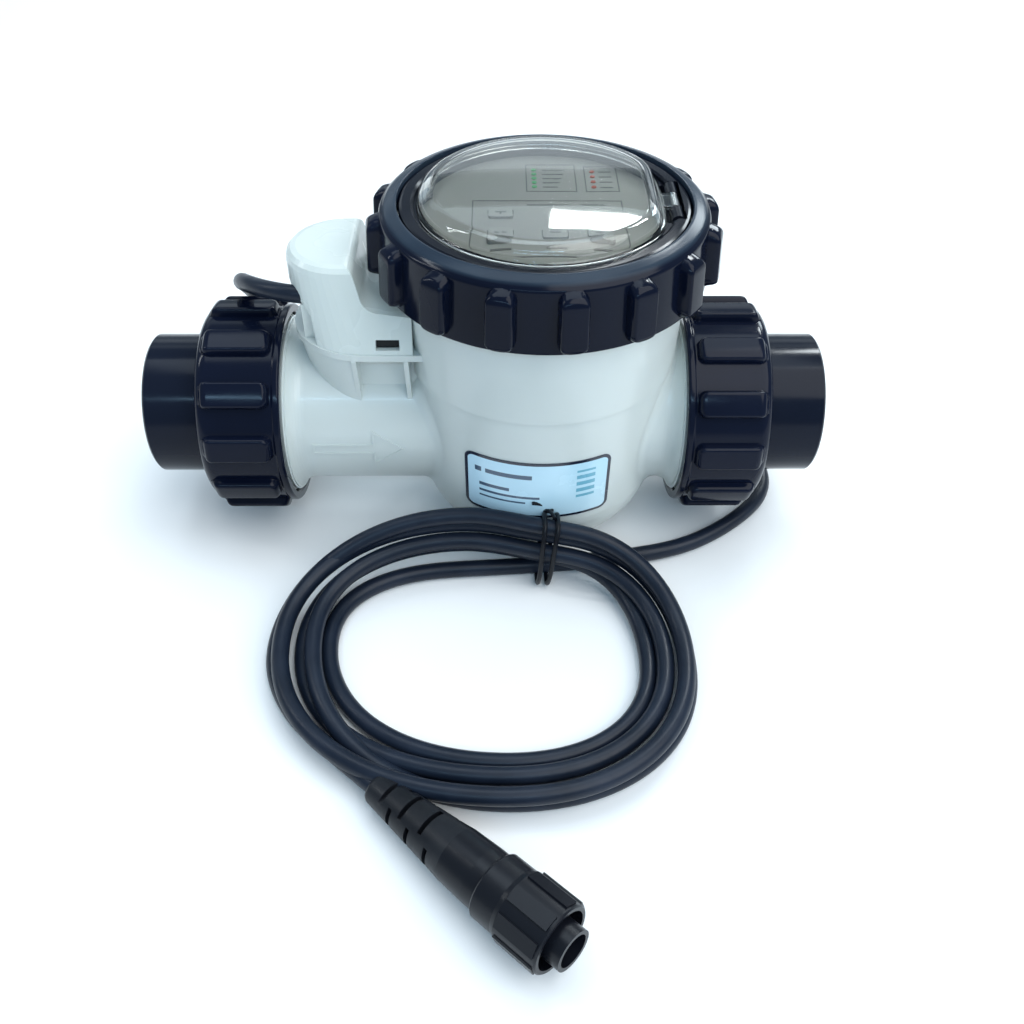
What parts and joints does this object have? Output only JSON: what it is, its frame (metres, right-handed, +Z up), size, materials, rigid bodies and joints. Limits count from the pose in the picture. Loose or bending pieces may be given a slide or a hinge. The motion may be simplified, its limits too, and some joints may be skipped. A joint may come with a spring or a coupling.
{
  "type": "salt chlorine generator",
  "caption": "In-line pool chlorinator: upright vessel, lift-out electrode head with hinged clear cover, two union couplings, sensor tower and coiled supply cord.",
  "frame": {"origin": "centre of the flat bottom of the vessel", "axes": "+X along the pipe from inlet to outlet, +Y away from the front face, +Z up"},
  "size_m": [0.338, 0.3711, 0.1847],
  "materials": {
    "vessel": "satin",
    "label_plate": "gloss",
    "anode_plates": "matte",
    "cathode_plates": "satin",
    "plate_spacers": "satin",
    "terminal_studs": "satin",
    "head_housing": "gloss",
    "head_seal": "matte",
    "circuit_board": "satin",
    "board_components": "satin",
    "board_screws": "gloss",
    "control_panel": "satin",
    "power_button": "satin",
    "boost_button": "satin",
    "less_button": "satin",
    "more_button": "satin",
    "output_lights": "gloss",
    "status_lights": "gloss",
    "lens_cover": "gloss",
    "hinge_pin": "gloss",
    "lock_ring": "gloss",
    "slip_ring": "satin",
    "union_nut_left": "gloss",
    "union_nut_right": "gloss",
    "tailpiece_left": "gloss",
    "tailpiece_right": "gloss",
    "union_seal_left": "matte",
    "union_seal_right": "matte",
    "sensor_cover": "satin",
    "flow_switch_body": "satin",
    "flow_paddle": "satin",
    "paddle_pin": "satin",
    "sensor_seal": "matte",
    "temperature_probe": "satin",
    "cable_post": "satin",
    "sensor_screws": "gloss",
    "power_cord_lead": "satin",
    "power_cord_coil": "satin",
    "cord_tie": "satin",
    "connector_boot": "matte",
    "connector_body": "satin",
    "coupling_nut": "satin",
    "connector_seal": "matte",
    "contact_pins": "gloss"
  },
  "bodies": {
    "body": {"vessel": "vessel", "label_plate": "label_plate", "union_seal_left": "union_seal_left", "union_seal_right": "union_seal_right", "sensor_cover": "sensor_cover", "flow_switch_body": "flow_switch_body", "paddle_pin": "paddle_pin", "sensor_seal": "sensor_seal", "temperature_probe": "temperature_probe", "cable_post": "cable_post", "sensor_screws": "sensor_screws", "power_cord_lead": "power_cord_lead", "power_cord_coil": "power_cord_coil", "cord_tie": "cord_tie", "connector_boot": "connector_boot", "connector_body": "connector_body", "connector_seal": "connector_seal", "contact_pins": "contact_pins"},
    "head": {"head_housing": "head_housing", "head_seal": "head_seal", "circuit_board": "circuit_board", "board_components": "board_components", "board_screws": "board_screws", "control_panel": "control_panel", "output_lights": "output_lights", "status_lights": "status_lights", "hinge_pin": "hinge_pin", "anode_plates": "anode_plates", "cathode_plates": "cathode_plates", "plate_spacers": "plate_spacers", "terminal_studs": "terminal_studs"},
    "slip_ring": {"slip_ring": "slip_ring"},
    "lock_ring": {"lock_ring": "lock_ring"},
    "lens_cover": {"lens_cover": "lens_cover"},
    "power_button": {"power_button": "power_button"},
    "boost_button": {"boost_button": "boost_button"},
    "less_button": {"less_button": "less_button"},
    "more_button": {"more_button": "more_button"},
    "inlet_tailpiece": {"tailpiece_left": "tailpiece_left"},
    "inlet_nut": {"union_nut_left": "union_nut_left"},
    "outlet_tailpiece": {"tailpiece_right": "tailpiece_right"},
    "outlet_nut": {"union_nut_right": "union_nut_right"},
    "flow_paddle": {"flow_paddle": "flow_paddle"},
    "coupling_nut": {"coupling_nut": "coupling_nut"}
  },
  "joints": [
    {"name": "head_lift", "type": "slide", "parent": "body", "child": "head", "axis": [0, 0, 1], "range_m": [0, 0.142]},
    {"name": "ring_rise", "type": "slide", "parent": "head", "child": "slip_ring", "axis": [0, 0, 1], "range_m": [0, 0.0152]},
    {"name": "ring_turn", "type": "hinge", "parent": "slip_ring", "child": "lock_ring", "pos_m": [0, 0, 0.155], "axis": [0, 0, 1], "range_deg": [0, 1080]},
    {"name": "lens_hinge", "type": "hinge", "parent": "head", "child": "lens_cover", "pos_m": [0.0588, 0, 0.1736], "axis": [0, -1, 0], "range_deg": [-100, 0]},
    {"name": "inlet_tail_slide", "type": "slide", "parent": "body", "child": "inlet_tailpiece", "axis": [-1, 0, 0], "range_m": [0, 0.0152]},
    {"name": "inlet_nut_turn", "type": "hinge", "parent": "inlet_tailpiece", "child": "inlet_nut", "pos_m": [-0.15, 0, 0.062], "axis": [-1, 0, 0], "range_deg": [0, 1080]},
    {"name": "outlet_tail_slide", "type": "slide", "parent": "body", "child": "outlet_tailpiece", "axis": [1, 0, 0], "range_m": [0, 0.0152]},
    {"name": "outlet_nut_turn", "type": "hinge", "parent": "outlet_tailpiece", "child": "outlet_nut", "pos_m": [0.09, 0, 0.062], "axis": [1, 0, 0], "range_deg": [0, 1080]},
    {"name": "paddle_swing", "type": "hinge", "parent": "body", "child": "flow_paddle", "pos_m": [-0.097, 0, 0.079], "axis": [0, -1, 0], "range_deg": [0, 35], "stiffness_Nm_per_rad": 0.002},
    {"name": "coupling_turn", "type": "hinge", "parent": "body", "child": "coupling_nut", "pos_m": [-0.0726, -0.199, 0.0098], "axis": [0.7291, -0.6799, 0.0785], "continuous": true},
    {"name": "power_button_press", "type": "slide", "parent": "head", "child": "power_button", "axis": [0, 0, -1], "range_m": [0, 0.0008], "stiffness_N_per_m": 1500, "springref_m": -0.0003},
    {"name": "boost_button_press", "type": "slide", "parent": "head", "child": "boost_button", "axis": [0, 0, -1], "range_m": [0, 0.0008], "stiffness_N_per_m": 1500, "springref_m": -0.0003},
    {"name": "less_button_press", "type": "slide", "parent": "head", "child": "less_button", "axis": [0, 0, -1], "range_m": [0, 0.0008], "stiffness_N_per_m": 1500, "springref_m": -0.0003},
    {"name": "more_button_press", "type": "slide", "parent": "head", "child": "more_button", "axis": [0, 0, -1], "range_m": [0, 0.0008], "stiffness_N_per_m": 1500, "springref_m": -0.0003}
  ],
  "couplings": [
    {"joint": "ring_rise", "follows": "ring_turn", "m_per_rad": 0.00079577},
    {"joint": "inlet_tail_slide", "follows": "inlet_nut_turn", "m_per_rad": 0.00079577},
    {"joint": "outlet_tail_slide", "follows": "outlet_nut_turn", "m_per_rad": 0.00079577}
  ]
}
